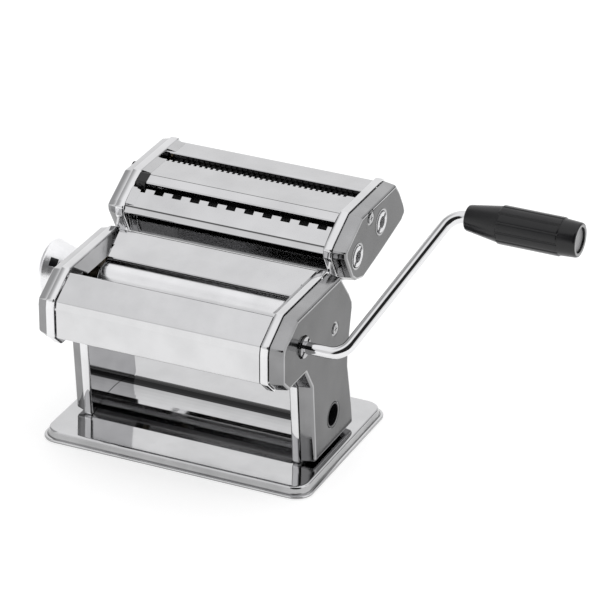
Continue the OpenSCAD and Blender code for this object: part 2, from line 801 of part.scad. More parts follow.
module cutter_gear(at, turn) {
    color(steel) gear(cut_gear_teeth, cut_pitch / cut_gear_teeth, 9.8, 7.45, turn, cut_journal_r + 0.02, at,
        -cut_frame_x - 7.2, -cut_frame_x - 3.2);
}

module wide_drive_cutter() { cutting_roller(wide_axis, wide_strip, 0, true); }
module wide_idler_cutter() { cutting_roller(wide_axis + pair_step, wide_strip, wide_strip, false); }
module fine_drive_cutter() { cutting_roller(fine_axis, fine_strip, 0, true); }
module fine_idler_cutter() { cutting_roller(fine_axis + pair_step, fine_strip, fine_strip, false); }
module wide_drive_gear() { cutter_gear(wide_axis, cut_tilt); }
module wide_idler_gear() { cutter_gear(wide_axis + pair_step, cut_tilt + 180 + 180 / cut_gear_teeth); }
module fine_drive_gear() { cutter_gear(fine_axis, cut_tilt); }
module fine_idler_gear() { cutter_gear(fine_axis + pair_step, cut_tilt + 180 + 180 / cut_gear_teeth); }

base_plate();
base_feet();
side_frame(-1);  // side_frame_left
side_frame(1);  // side_frame_right
side_cover(-1);  // side_cover_left
side_cover(1);  // side_cover_right
cover_screws();
front_cover();
hopper_plate();
hopper_cheek(-1);  // hopper_cheek_left
hopper_cheek(1);  // hopper_cheek_right
rear_cover();
chute();
tie_rods();
front_bushes();
scraper(front_roller_y, -1);  // front_scraper
clamp_liner();
index_plate();
front_roller();
front_gear();
drive_hub();
rear_roller();
rear_gear();
bearing_slides();
scraper(rear_roller_y, 1);  // rear_scraper
adjuster_shaft();
knob_screw();
knob();
knob_cap();
knob_spring();
crank_rod();
crank_key();
grip_retainer();
crank_grip();
grip_cap();
cutter_frame(-1);  // cutter_frame_left
cutter_frame(1);  // cutter_frame_right
cutter_cover(-1);  // cutter_cover_left
cutter_cover(1);  // cutter_cover_right
cutter_front_plate();
cutter_middle_plate();
cutter_rear_plate();
cutter_tie_rods();
cutter_bushes();
cutter_screws();
wide_drive_cutter();
wide_idler_cutter();
fine_drive_cutter();
fine_idler_cutter();
wide_drive_gear();
wide_idler_gear();
fine_drive_gear();
fine_idler_gear();
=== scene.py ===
import json
import math

import bmesh
import bpy
from mathutils import Matrix, Vector

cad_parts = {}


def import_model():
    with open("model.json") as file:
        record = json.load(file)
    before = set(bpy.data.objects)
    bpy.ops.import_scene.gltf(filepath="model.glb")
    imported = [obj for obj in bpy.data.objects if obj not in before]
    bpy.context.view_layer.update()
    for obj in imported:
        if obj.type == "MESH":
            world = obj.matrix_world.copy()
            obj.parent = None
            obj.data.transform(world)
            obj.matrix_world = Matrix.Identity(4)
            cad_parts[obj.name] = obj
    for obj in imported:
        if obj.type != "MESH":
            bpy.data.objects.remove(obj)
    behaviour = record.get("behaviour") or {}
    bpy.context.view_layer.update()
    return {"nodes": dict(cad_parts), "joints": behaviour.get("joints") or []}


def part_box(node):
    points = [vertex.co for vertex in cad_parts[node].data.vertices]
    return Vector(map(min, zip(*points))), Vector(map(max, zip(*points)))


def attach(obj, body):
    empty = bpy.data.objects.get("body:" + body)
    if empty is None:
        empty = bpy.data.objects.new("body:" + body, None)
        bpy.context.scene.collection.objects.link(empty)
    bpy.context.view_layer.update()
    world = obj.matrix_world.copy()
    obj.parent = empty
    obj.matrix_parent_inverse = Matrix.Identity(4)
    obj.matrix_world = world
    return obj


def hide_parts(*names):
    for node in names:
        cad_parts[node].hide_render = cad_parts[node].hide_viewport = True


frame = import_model()

MM = 0.001      # metres in a millimetre
SHARP = 38      # degrees between two faces from which their edge stays sharp
BLEND = 0.4     # millimetres over which one tone of a material gives way to the next


# ---- Materials ----

class Paint:
    """A Principled material and short calls for the nodes that vary it."""

    def __init__(self, name, color, metallic, roughness):
        self.mat = bpy.data.materials.new(name)
        self.mat.use_nodes = True
        self.tree = self.mat.node_tree
        self.shader = self.tree.nodes["Principled BSDF"]
        self.shader.inputs["Base Color"].default_value = (*color, 1)
        self.shader.inputs["Metallic"].default_value = metallic
        self.shader.inputs["Roughness"].default_value = roughness
        self.place = self.tree.nodes.new("ShaderNodeTexCoord").outputs["Object"]

    def node(self, kind, links=(), **values):
        """A node with its settings and inputs given by name, and with the given sockets linked in."""
        made = self.tree.nodes.new("ShaderNode" + kind)
        for name, value in values.items():
            if hasattr(made, name):
                setattr(made, name, value)
            else:
                made.inputs[name.replace("_", " ")].default_value = value
        for name, socket in dict(links).items():
            self.tree.links.new(socket, made.inputs[name])
        return made

    def noise(self, scale, detail=3, stretch=(1, 1, 1)):
        """Noise over the object; a small stretch factor draws it out along that axis."""
        place = self.node("Mapping", {"Vector": self.place}, Scale=stretch).outputs[0]
        return self.node("TexNoise", {"Vector": place}, Scale=scale, Detail=detail).outputs["Fac"]

    def ranged(self, value, low, high, start=0.3, end=0.7):
        """The part of a value between start and end, spread from low to high."""
        made = self.node("MapRange", {"Value": value})
        for name, number in (("From Min", start), ("From Max", end), ("To Min", low), ("To Max", high)):
            made.inputs[name].default_value = number
        return made.outputs["Result"]

    def math(self, operation, first, second):
        """Math node on two sockets or numbers."""
        made = self.node("Math", operation=operation)
        for index, value in enumerate((first, second)):
            if isinstance(value, (int, float)):
                made.inputs[index].default_value = value
            else:
                self.tree.links.new(value, made.inputs[index])
        return made.outputs[0]

    def mixed(self, factor, first, second):
        """Colour that runs from the first to the second, each a colour or a socket, with the factor."""
        made = self.node("Mix", data_type="RGBA")
        self.tree.links.new(factor, made.inputs["Factor"])
        for index, value in ((6, first), (7, second)):
            if isinstance(value, tuple):
                made.inputs[index].default_value = (*value, 1)
            else:
                self.tree.links.new(value, made.inputs[index])
        return made.outputs[2]

    def along(self, axis):
        """Place along an axis of the object, in metres."""
        return self.node("SeparateXYZ", {"Vector": self.place}).outputs[axis]

    def past(self, axis, start):
        """1 where the place along the axis, in millimetres, is past the start, 0 before it."""
        return self.ranged(self.along(axis), 0, 1, start * MM, (start + BLEND) * MM)

    def beyond_x(self, start):
        """1 where |X| in millimetres is past the start, 0 before it."""
        away = self.math("ABSOLUTE", self.along("X"), 0)
        return self.ranged(away, 0, 1, start * MM, (start + BLEND) * MM)

    def near(self, axis, at, reach):
        """1 in a thin line where the place along the axis is near a value in millimetres."""
        away = self.math("ABSOLUTE", self.math("SUBTRACT", self.along(axis), at * MM), 0)
        return self.ranged(away, 1, 0, reach * MM, 2 * reach * MM)

    def color(self, socket):
        self.tree.links.new(socket, self.shader.inputs["Base Color"])

    def roughness(self, socket):
        self.tree.links.new(socket, self.shader.inputs["Roughness"])

    def bump(self, height, distance, strength):
        made = self.node("Bump", {"Height": height}, Distance=distance, Strength=strength)
        self.tree.links.new(made.outputs["Normal"], self.shader.inputs["Normal"])


def grey(value):
    """Grey with the faint blue of chrome."""
    return (value, value, value * 1.01)


FOLD_SHADE_REACH = 0.2    # half width in millimetres of the painted dark reflection along a bend
# tone of the painted dark reflection along a bend
FOLD_SHADE_TONE = 0.1


def polished_steel(name, dark, light, rough, lines=(1, 90, 90), past=None, fold_shade_line=None):
    """Mirror-polished steel with soft smears between two tones and fine hairlines.

    past is (axis, place in millimetres, tone before it, tone after it), where None keeps the steel's tone;
    it paints shade on the part of a sheet that lies in shade. The last argument is (axis, place in
    millimetres) of a bend, drawn as a thin dark line: a painted dark reflection of the bend.
    """
    p = Paint(name, grey(light), 1.0, rough)
    smears = p.noise(45, 4)
    hairlines = p.noise(30, 2, lines)
    color = p.mixed(p.ranged(smears, 0, 1, 0.35, 0.7), grey(light), grey(dark))
    if past:
        # painted shade: a darker tone on one side of the place
        axis, start, before, after = past
        side = p.past(axis, start)
        color = p.mixed(side, grey(before) if before else color, grey(after) if after else color)
    if fold_shade_line:
        # painted dark reflection: a thin dark line along the bend
        axis, at = fold_shade_line
        color = p.mixed(p.near(axis, at, FOLD_SHADE_REACH), color, grey(FOLD_SHADE_TONE))
    p.color(color)
    fine = p.ranged(hairlines, 0, rough * 0.8, 0.4, 0.75)
    soft = p.ranged(smears, rough * 0.7, rough * 1.4, 0.35, 0.75)
    p.roughness(p.math("ADD", fine, soft))
    p.bump(p.noise(160, 1), 0.00002, 0.2)
    return p.mat


def satin_steel(name, value, rough, ends=None):
    """Turned or ground steel with fine tool lines; ends is (|X| in millimetres, tone past it)."""
    p = Paint(name, grey(value), 1.0, rough)
    tool = p.noise(60, 3, (1, 60, 60))
    cloud = p.noise(40, 3)
    color = p.mixed(p.ranged(cloud, 0, 1), grey(value * 1.06), grey(value * 0.9))
    if ends:
        color = p.mixed(p.beyond_x(ends[0]), color, grey(ends[1]))
    p.color(color)
    p.roughness(p.ranged(tool, rough * 0.75, rough * 1.3))
    p.bump(tool, 0.00003, 0.4)
    return p.mat


def bronze(name):
    """Oil-soaked bearing bronze with a cloudy tone."""
    p = Paint(name, (0.2, 0.16, 0.1), 1.0, 0.4)
    cloud = p.noise(80, 3)
    p.color(p.mixed(p.ranged(cloud, 0, 1), (0.24, 0.19, 0.12), (0.15, 0.12, 0.08)))
    p.roughness(p.ranged(p.noise(200, 2), 0.32, 0.5))
    p.bump(p.noise(600, 2), 0.00003, 0.4)
    return p.mat


def black_plastic(name):
    """Glossy moulded plastic with a faint grain and dulled patches."""
    p = Paint(name, (0.007, 0.007, 0.008), 0.0, 0.22)
    cloud = p.noise(60, 4)
    p.color(p.mixed(p.ranged(cloud, 0, 1), (0.006, 0.006, 0.007), (0.012, 0.012, 0.013)))
    p.roughness(p.ranged(cloud, 0.16, 0.28))
    p.bump(p.noise(1400, 2), 0.00003, 0.25)
    p.shader.inputs["Specular IOR Level"].default_value = 0.42
    return p.mat


def rubber(name):
    """Matt black rubber with dusty patches."""
    p = Paint(name, (0.02, 0.02, 0.02), 0.0, 0.7)
    cloud = p.noise(120, 4)
    p.color(p.mixed(p.ranged(cloud, 0, 1), (0.014, 0.014, 0.014), (0.035, 0.034, 0.033)))
    p.roughness(p.ranged(cloud, 0.6, 0.85))
    p.bump(p.noise(900, 2), 0.0001, 0.5)
    return p.mat


def grey_plastic(name):
    """Half-matt grey plastic with a faint grain."""
    p = Paint(name, (0.3, 0.3, 0.3), 0.0, 0.4)
    cloud = p.noise(150, 3)
    p.color(p.mixed(p.ranged(cloud, 0, 1), (0.27, 0.27, 0.275), (0.33, 0.33, 0.33)))
    p.roughness(p.ranged(cloud, 0.3, 0.5))
    p.bump(p.noise(1200, 2), 0.00003, 0.3)
    return p.mat


# Polished steel takes its dark tone, its light tone and its roughness
SHEET_TONES = (0.62, 0.68, 0.06)
PANEL = polished_steel("panel_steel", *SHEET_TONES)
# The chute is painted darker past Y 5 mm: painted shade on its rear part
CHUTE = polished_steel("chute_steel_rear_shade", *SHEET_TONES, past=("Y", 5, None, 0.1))
CHUTE.node_tree.nodes["Principled BSDF"].inputs["Specular Tint"].default_value = (0.3, 0.3, 0.3, 1)
# Painted shade on the front guard below Z 135 mm, and a painted dark reflection along each guard's bend
GUARD_FRONT = polished_steel("front_guard_steel_low_shade", *SHEET_TONES, past=("Z", 135, 0.3, None),
                             fold_shade_line=("Y", 16.3))
GUARD_MIDDLE = polished_steel("middle_guard_steel_fold_shade", *SHEET_TONES, fold_shade_line=("Y", 39.6))
BRIGHT = polished_steel("bright_steel", 0.72, 0.80, 0.05)
# Darker and lighter copies of the steel paint light and shade: the wall steel is painted shade on the walls
# of the covers and of the base plate, the cover steel a painted dark reflection on the covers' faces, and
# the mid-grey steel a painted highlight on the covers' rounded edges and hole rims, painted light on the
# right cover's walls that face up, painted shade on the base plate's lip edge and groove, and the own tone
# of the screws, the hub and the key.
WALL_SHADE = polished_steel("wall_shade_steel", 0.24, 0.29, 0.09)
COVER_DARK_REFLECTION = polished_steel("cover_dark_reflection_steel", 0.10, 0.12, 0.14, (60, 60, 3))
SCREWS_AND_PAINTED_LIGHT = polished_steel("screw_steel_and_painted_light", 0.36, 0.44, 0.12)
# Painted shade: a darker copy of the sheet steel for the cheeks of the hopper and of the cutter's slots
SHADE = polished_steel("cheek_shade_steel", 0.54, 0.62, 0.10)
KNOB = polished_steel("knob_chrome", 0.94, 0.99, 0.32)

# Satin steel takes its tone and its roughness
ROLLER = satin_steel("roller_steel", 0.82, 0.2, ends=(67.05, 0.2))
TOOTH = satin_steel("cutter_steel", 0.055, 0.48, ends=(75.4, 0.75))
PLAIN = satin_steel("plain_steel", 0.24, 0.34)

BRONZE = bronze("bearing_bronze")
BLACK = black_plastic("black_plastic")
RUBBER = rubber("black_rubber")
DISC = grey_plastic("grey_disc")

FINISH = {}
for material, names in (
    (PANEL, "front_cover hopper_plate rear_cover cutter_rear_plate"),
    (GUARD_FRONT, "cutter_front_plate"),
    (GUARD_MIDDLE, "cutter_middle_plate"),
    (CHUTE, "chute"),
    (BRIGHT, "base_plate side_frame_left side_frame_right crank_rod cutter_frame_left cutter_frame_right"),
    (SCREWS_AND_PAINTED_LIGHT, "cover_screws cutter_screws drive_hub crank_key"),
    (COVER_DARK_REFLECTION, "side_cover_left side_cover_right cutter_cover_left cutter_cover_right"),
    (SHADE, "hopper_cheek_left hopper_cheek_right"),
    (ROLLER, "front_roller rear_roller"),
    (TOOTH, "wide_drive_cutter wide_idler_cutter fine_drive_cutter fine_idler_cutter"),
    (PLAIN, "tie_rods front_scraper rear_scraper index_plate front_gear rear_gear adjuster_shaft knob_screw"
            " knob_spring grip_retainer cutter_tie_rods wide_drive_gear wide_idler_gear"
            " fine_drive_gear fine_idler_gear"),
    (KNOB, "knob knob_cap"),
    (BRONZE, "front_bushes bearing_slides cutter_bushes"),
    (BLACK, "crank_grip clamp_liner"),
    (RUBBER, "base_feet"),
    (DISC, "grip_cap"),
):
    for name in names.split():
        FINISH[name] = material

for name, cad in frame["nodes"].items():
    cad.data.materials.clear()
    cad.data.materials.append(FINISH[name])


# ---- Outlines, as pairs of millimetres ----

def corner_arc(before, corner, after, radius, steps):
    """Points of the arc that rounds a corner."""
    p, q, s = Vector(before), Vector(corner), Vector(after)
    u, v = (p - q).normalized(), (s - q).normalized()
    half = u.angle(v) / 2
    reach = min(radius / math.tan(half), 0.45 * min((p - q).length, (s - q).length))
    radius = reach * math.tan(half)
    centre = q + (u + v).normalized() * radius / math.sin(half)
    a, b = q + u * reach - centre, q + v * reach - centre
    sweep = math.pi - 2 * half
    points = []
    for i in range(steps + 1):
        share = i / steps
        arm = (a * math.sin(sweep * (1 - share)) + b * math.sin(sweep * share)) / math.sin(sweep)
        points.append(tuple(centre + arm))
    return points


def rounded(loop, radius, steps=6):
    """Closed outline with every corner rounded."""
    made = []
    for before, here, after in zip(loop[-1:] + loop[:-1], loop, loop[1:] + loop[:1]):
        made += corner_arc(before, here, after, radius, steps)
    return made


def left_of(a, b):
    """Unit vector to the left of the way from a to b."""
    step = (Vector(b) - Vector(a)).normalized()
    return Vector((-step.y, step.x))


def moved_in(loop, distance):
    """Anticlockwise outline moved inwards."""
    made = []
    for before, here, after in zip(loop[-1:] + loop[:-1], loop, loop[1:] + loop[:1]):
        a, b = left_of(before, here), left_of(here, after)
        made.append(tuple(Vector(here) + (a + b) * distance / (1 + a.dot(b))))
    return made


def with_supports(loop, gap=0.3):
    """Adds a point near both ends of each side, so that a flat side stays flat when shaded smooth."""
    made = []
    for a, b in zip(loop, loop[1:] + loop[:1]):
        side = Vector(b) - Vector(a)
        near = min(gap, side.length / 4)
        step = side.normalized() * near
        made += [tuple(a), tuple(Vector(a) + step), tuple(Vector(b) - step)]
    return made


def circle(centre, radius, steps=64):
    turns = [2 * math.pi * i / steps for i in range(steps)]
    return [(centre[0] + radius * math.cos(a), centre[1] + radius * math.sin(a)) for a in turns]


def quarter(radius, steps=5):
    """(advance, inset) along a quarter round, from an edge's side to its face."""
    turns = [math.pi / 2 * i / steps for i in range(steps + 1)]
    return [(radius * math.sin(a), radius * (1 - math.cos(a))) for a in turns]


# ---- Mesh building, in millimetres ----

class Build:
    """Collects faces in millimetres and makes them a piece of the model."""

    def __init__(self):
        self.bm = bmesh.new()

    def ring(self, points):
        return [self.bm.verts.new(p) for p in points]

    def at_x(self, loop, x):
        """Ring of a (Y, Z) outline at one X."""
        return self.ring([(x, y, z) for y, z in loop])

    def bridge(self, first, second, closed=True, slot=0):
        """Quads between two rings with the same number of points."""
        n = len(first)
        for i in range(n if closed else n - 1):
            j = (i + 1) % n
            self.bm.faces.new((first[i], first[j], second[j], second[i])).material_index = slot

    def skin(self, rings, closed=True, slot=0):
        for first, second in zip(rings, rings[1:]):
            self.bridge(first, second, closed, slot)

    def fill(self, rings, slot=0):
        """Flat face bounded by the first ring, with the other rings as its holes."""
        edges = []
        for ring in rings:
            for a, b in zip(ring, ring[1:] + ring[:1]):
                edges.append(self.bm.edges.get((a, b)) or self.bm.edges.new((a, b)))
        made = bmesh.ops.triangle_fill(self.bm, use_beauty=True, edges=edges)
        for item in made["geom"]:
            if isinstance(item, bmesh.types.BMFace):
                item.material_index = slot

    def piece(self, name, body, materials, slot, replaces=(), sharp=SHARP):
        """Makes the object, smooth but for its sharp edges, riding on a body."""
        bmesh.ops.recalc_face_normals(self.bm, faces=self.bm.faces)
        self.bm.transform(Matrix.Scale(MM, 4))
        mesh = bpy.data.meshes.new(name)
        self.bm.to_mesh(mesh)
        self.bm.free()
        mesh.polygons.foreach_set("use_smooth", [True] * len(mesh.polygons))
        mesh.set_sharp_from_angle(angle=math.radians(sharp))
        made = bpy.data.objects.new(name, mesh)
        bpy.context.scene.collection.objects.link(made)
        for material in materials:
            mesh.materials.append(material)
        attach(made, body)
        if replaces:
            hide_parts(*replaces)
        return made


def lathe(build, profile, centre, steps=96, closed=False):
    """Turns (X, radius) points round an axis along X; a radius of 0 closes an end."""
    rings = []
    for x, radius in profile:
        if radius == 0:
            rings.append([build.bm.verts.new((x, *centre))])
        else:
            rings.append(build.at_x(circle(centre, radius, steps), x))
    for a, b in zip(rings, rings[1:] + (rings[:1] if closed else [])):
        if len(a) > 1 and len(b) > 1:
            build.bridge(a, b)
        else:
            tip, rim = (a[0], b) if len(a) == 1 else (b[0], a)
            for i in range(len(rim)):
                build.bm.faces.new((tip, rim[i], rim[(i + 1) % len(rim)]))


def slab(build, outline, x0, x1, edge=0.35, corner=0.6):
    """Plate of a (Y, Z) outline between two X places, with small rounded edges."""
    def ring(inset, x):
        loop = rounded(moved_in(outline, inset), max(corner - inset, 0.15), 4)
        return build.at_x(with_supports(loop, 0.2), x)

    turn = quarter(edge, 3)
    rings = [ring(edge + 0.15, x0)] + [ring(i, x0 + edge - a) for a, i in reversed(turn)]
    rings += [ring(i, x1 - edge + a) for a, i in turn] + [ring(edge + 0.15, x1)]
    build.skin(rings)
    build.fill([rings[0]])
    build.fill([rings[-1]])


def cut(piece, low, high):
    """Cuts a box, given in millimetres, out of a piece for good."""
    box = Build()
    bmesh.ops.create_cube(box.bm, size=1)
    for vertex in box.bm.verts:
        vertex.co = Vector([a if s < 0 else b for s, a, b in zip(vertex.co, low, high)]) * MM
    mesh = bpy.data.meshes.new("cut_box")
    box.bm.to_mesh(mesh)
    box.bm.free()
    tool = bpy.data.objects.new("cut_box", mesh)
    bpy.context.scene.collection.objects.link(tool)
    step = piece.modifiers.new("cut", "BOOLEAN")
    step.object = tool
    step.operation = "DIFFERENCE"
    step.solver = "EXACT"
    done = bpy.data.meshes.new_from_object(piece.evaluated_get(bpy.context.evaluated_depsgraph_get()))
    piece.modifiers.clear()
    piece.data = done
    done.set_sharp_from_angle(angle=math.radians(SHARP))
    bpy.data.objects.remove(tool)


# ---- Places taken from the frame ----

def box_mm(node):
    low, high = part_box(node)
    return low / MM, high / MM


def x_ends(node, side):
    """X of a node's inner and outer end in millimetres, where side is -1 on the left and 1 on the right."""
    low, high = box_mm(node)
    return (low.x, high.x) if side > 0 else (high.x, low.x)


def joint_place(name):
    """(Y, Z) of a hinge's axis, in millimetres."""
    joint = next(j for j in frame["joints"] if j["name"] == name)
    return joint["pos_m"][1] / MM, joint["pos_m"][2] / MM


DRIVE_AXIS = joint_place("drive_spin")
KNOB_AXIS = joint_place("thickness_turn")
WIDE_AXIS = joint_place("wide_drive_spin")
FINE_AXIS = joint_place("fine_drive_spin")


# ---- Pressed side frames and covers ----

# Outlines of the head's and of the cutter unit's frames, as (Y, Z)
HEAD = [(-35, 7.6), (29.5, 7.6), (27, 27.6), (21, 57.2), (21.6, 69.3), (27.6, 96), (27.2, 101.5),
        (22.5, 109.6), (9, 127), (6.5, 128), (-59, 128), (-80.7, 115.1), (-82, 109), (-82, 89),
        (-72, 79.5), (-47.5, 79.5), (-39, 66), (-35, 14)]
CUTTER = [(24, 114.6), (31.1, 109.2), (42.9, 105.9), (71.3, 111.7), (105, 119.8), (110.6, 123.9),
          (112.2, 127.6), (109.5, 134.6), (102.6, 146.4), (95.9, 154.5), (40.3, 154.5),
          (17.4, 141.9), (13.4, 139), (14, 132.6)]
SHEET = 2           # thickness of a frame's web
SHELL = 1.2         # thickness of a cover

HEAD_SCREW = (-2.4, 93)
CUTTER_SCREW = (54, 146.3)
CLAMP_HOLE = (-4.5, 31.5)

# Sections of hole edges, as (distance from the hole, height over the face)
PLAIN_RIM = [(0.6, 0), (0.35, 0), (0.17, -0.05), (0.05, -0.17), (0, -0.35)]
ROUND_RIM = [(1.5, 0), (1.1, -0.02), (0.75, -0.12), (0.4, -0.32), (0.15, -0.6), (0, -1)]
DIMPLE = [(2.2, 0), (1.8, 0), (1.4, -0.1), (1.0, -0.3), (0.5, -0.46), (0.2, -0.5), (0, -0.6)]
COLLAR = [(2.4, 0), (2.1, 0), (1.7, 0.08), (1.3, 0.28), (0.9, 0.4), (0.5, 0.36), (0.2, 0.15),
          (0.05, -0.1), (0, -0.4)]

# Material slots of a cover: painted shade on its walls, a painted dark reflection on its face, a painted
# highlight on its rounded edge and hole rims, and painted light on its walls that face up
WALL_SHADE_SLOT, FACE_REFLECTION_SLOT, RIM_HIGHLIGHT_SLOT, TOP_LIGHT_SLOT = range(4)


def pressed_cover(name, body, side, outline, draft, edge, corner, holes):
    """Thin pressed dish: its wall drafts inwards from the open end to a rounded edge and a flat face.

    Each hole is (centre, radius, section of its edge). Light and shade are painted on by the material
    slots:
    the walls are painted shade, the end of the rounded edge and the inner part of a raised or sunk hole rim
    a painted highlight, the face a painted dark reflection, and the walls that face up take another,
    lighter tone as painted light.
    """
    x_open, x_face = x_ends(name, side)
    build = Build()

    def ring(inset, x):
        loop = rounded(moved_in(outline, inset), max(corner - inset, 0.6))
        return build.at_x(with_supports(loop, 0.25), x)

    outer = [ring(0.25, x_open), ring(0.05, x_open + side * 0.08), ring(0, x_open + side * 0.3)]
    outer.append(ring(draft * 0.97, x_face - side * (edge + 0.2)))
    bend = [ring(draft + inset, x_face - side * (edge - advance)) for advance, inset in quarter(edge, 6)]
    flat = ring(draft + edge + 0.3, x_face)
    inner = [ring(0.5, x_open), ring(SHELL, x_open + side * 0.5),
             ring(SHELL + draft, x_face - side * (SHELL + 0.8)),
             ring(SHELL + draft + 1, x_face - side * SHELL)]
    # painted shade on the walls, painted highlight on the end of the rounded edge, painted dark reflection
    # on the face
    build.skin(outer + bend[:5], slot=WALL_SHADE_SLOT)
    build.skin(bend[4:], slot=RIM_HIGHLIGHT_SLOT)
    build.bridge(bend[-1], flat, slot=FACE_REFLECTION_SLOT)
    build.bridge(outer[0], inner[0], slot=WALL_SHADE_SLOT)
    build.skin(inner, slot=WALL_SHADE_SLOT)

    faces, backs = [flat], [inner[-1]]
    for centre, radius, section in holes:
        rings = [build.at_x(circle(centre, radius + away), x_face + side * up) for away, up in section]
        rings.append(build.at_x(circle(centre, radius), x_face - side * SHELL))
        build.skin(rings[:4], slot=FACE_REFLECTION_SLOT)
        # painted highlight on the inner part of a raised or sunk rim; a plain rim keeps the face's dark
        # reflection
        build.skin(rings[3:], slot=FACE_REFLECTION_SLOT if section is PLAIN_RIM else RIM_HIGHLIGHT_SLOT)
        faces.append(rings[0])
        backs.append(rings[-1])
    build.fill(faces, slot=FACE_REFLECTION_SLOT)
    build.fill(backs, slot=WALL_SHADE_SLOT)

    bmesh.ops.recalc_face_normals(build.bm, faces=build.bm.faces)
    # painted light: the walls that face up take a lighter tone
    for face in build.bm.faces:
        if face.material_index == WALL_SHADE_SLOT and face.normal.z > 0.3:
            face.material_index = TOP_LIGHT_SLOT
    # tone of the painted light on the walls that face up
    top = SCREWS_AND_PAINTED_LIGHT if side > 0 else PANEL
    build.piece(name + "_pressing", body, (WALL_SHADE, COVER_DARK_REFLECTION, SCREWS_AND_PAINTED_LIGHT, top), "polished_steel", (name,))


def head_cover(name, side, holes):
    pressed_cover(name, "frame", side, moved_in(HEAD, 1.3), 1.1, 2.2, 3.4, holes)


def cutter_cover(name, side, holes):
    pressed_cover(name, "cutter", side, moved_in(CUTTER, 1.2), 1.0, 2.0, 2.9, holes)


def dished_frame(name, body, side, outline, edge, corner, least, support, openings):
    """Pressed frame whose flange turns outwards from a web with openings.

    edge is the radius of the bend between them, corner that of the outline, and least the smallest that an
    inner ring's corner may get.
    """
    web, rim = x_ends(name, side)
    build = Build()

    def ring(inset, x):
        loop = rounded(moved_in(outline, inset), max(corner - inset, least))
        return build.at_x(with_supports(loop, support), x)

    outer = [ring(1.0, rim), ring(0.45, rim), ring(0.12, rim - side * 0.13), ring(0, rim - side * 0.5)]
    outer += [ring(inset, web + side * (edge - advance)) for advance, inset in quarter(edge, 5)]
    outer.append(ring(edge + 0.3, web))
    inner = [ring(1.45, rim - side * 0.3), ring(1.5, web + side * (SHEET + 1)),
             ring(2.2, web + side * SHEET)]
    build.skin(outer)
    build.bridge(outer[0], inner[0])
    build.skin(inner)
    faces, backs = [outer[-1]], [inner[-1]]
    for loop in openings:
        front, back = build.at_x(loop, web), build.at_x(loop, web + side * SHEET)
        build.bridge(front, back)
        faces.append(front)
        backs.append(back)
    build.fill(faces)
    build.fill(backs)
    return build.piece(name + "_pressing", body, (BRIGHT,), "polished_steel", (name,))


def side_frame(name, side):
    """Frame of the head, with a hole for the drive, a window for the bearing slide and a hook's slot."""
    y0, y1, z0, z1 = -32.4, -7.8, 91.99, 114.01
    window = [(y0, z0), (y1, z0), (y1, z1), (y0, z1)]
    openings = (circle(DRIVE_AXIS, 10), window)
    made = dished_frame(name, "frame", side, HEAD, 1.3, 3.4, 0.8, 0.25, openings)
    hook_x = sorted((side * 74.35, side * 79))
    hook_y, hook_z = (12.7, 19.4), (104, 134)
    cut(made, (hook_x[0], hook_y[0], hook_z[0]), (hook_x[1], hook_y[1], hook_z[1]))


def cutter_frame(name, side):
    """Frame of the cutter unit, with a hole for each roller, and its hanging tongue."""
    joints = ("wide_drive_spin", "wide_idler_spin", "fine_drive_spin", "fine_idler_spin")
    openings = [circle(joint_place(joint), 6.8, 48) for joint in joints]
    dished_frame(name, "cutter", side, CUTTER, 1.2, 2.9, 0.6, 0.2, openings)
    tongue = [(13.6, 105), (18.6, 105), (18.6, 117.5), (23.5, 117.5), (23.5, 122), (17, 131),
              (15.6, 131), (13.6, 126)]
    rim = x_ends(name, side)[1]
    tab = Build()
    slab(tab, tongue, *sorted((rim - side * 2.4, rim - side * 0.4)))
    tab.piece(name + "_tongue", "cutter", (BRIGHT,), "polished_steel")


def slot_ends():
    """Sloping cheeks and a black block that close the left ends of the cutter unit's slots."""
    edge = box_mm("cutter_middle_plate")[1].x
    outer, inner, rise = edge, edge - 6.2, 1.35
    plates = (("front", (16.6, 139.9), (27.6, 147.4)), ("middle", (41, 153), (63.8, 153)),
              ("rear", (77.2, 153), (92.4, 153)))
    # (distance from the middle, height over the plate, how far the ends draw in)
    stations = ((outer, rise, 0), (outer - 0.3, rise, 0.2), (inner + 0.5, 0.16, 1.6), (inner, 0.06, 2))
    for place, front, rear in plates:
        build = Build()
        rings = []
        for x, lift, trim in stations:
            a, b = Vector(front), Vector(rear)
            along = (b - a).normalized()
            a, b = a + along * trim * 0.4, b - along * trim * 0.4
            rings.append(build.ring([(-x, a.x, a.y - 0.05), (-x, a.x, a.y + lift),
                                     (-x, b.x, b.y + lift), (-x, b.x, b.y - 0.05)]))
        build.skin(rings)
        for end in (rings[0], rings[-1]):
            build.bm.faces.new(end)
        # the cheeks take the darker cheek steel: painted shade
        build.piece(f"cutter_cheek_{place}", "cutter", (SHADE,), "polished_steel", sharp=25)
    block = Build()
    slab(block, [(31.0, 145.5), (40.6, 145.5), (40.6, 153.6), (39.0, 153.6), (31.9, 150.8)],
         0.05 - outer, 6.8 - outer, 0.3, 0.5)
    block.piece("slot_block", "cutter", (BLACK,), "black_plastic")


# ---- Base plate ----

